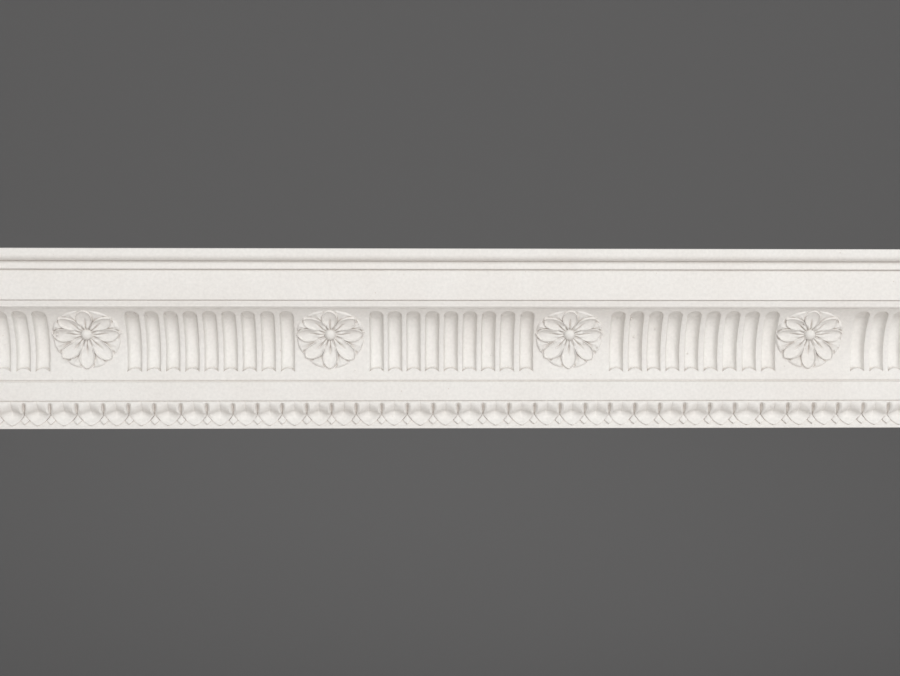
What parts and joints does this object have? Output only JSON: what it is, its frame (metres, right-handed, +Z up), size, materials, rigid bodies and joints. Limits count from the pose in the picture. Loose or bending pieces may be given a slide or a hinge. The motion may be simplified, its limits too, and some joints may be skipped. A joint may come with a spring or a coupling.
{
  "type": "dado rail",
  "caption": "Straight length of cast plaster dado rail with a stepped cap, a hollow fluted frieze set with rosettes, and a leaf-and-dart course along its foot.",
  "frame": {"origin": "centre of the flat back, midway along the rail and midway up it, in the plane of the wall face", "axes": "+X along the rail, to the right as seen from the room; +Y into the wall; +Z up"},
  "size_m": [0.608, 0.0441, 0.112],
  "materials": {
    "plaster": "matte off-white casting plaster, slightly mottled, with small air holes and beads"
  },
  "bodies": {
    "root": {"dado_rail": "plaster"}
  },
  "joints": []
}
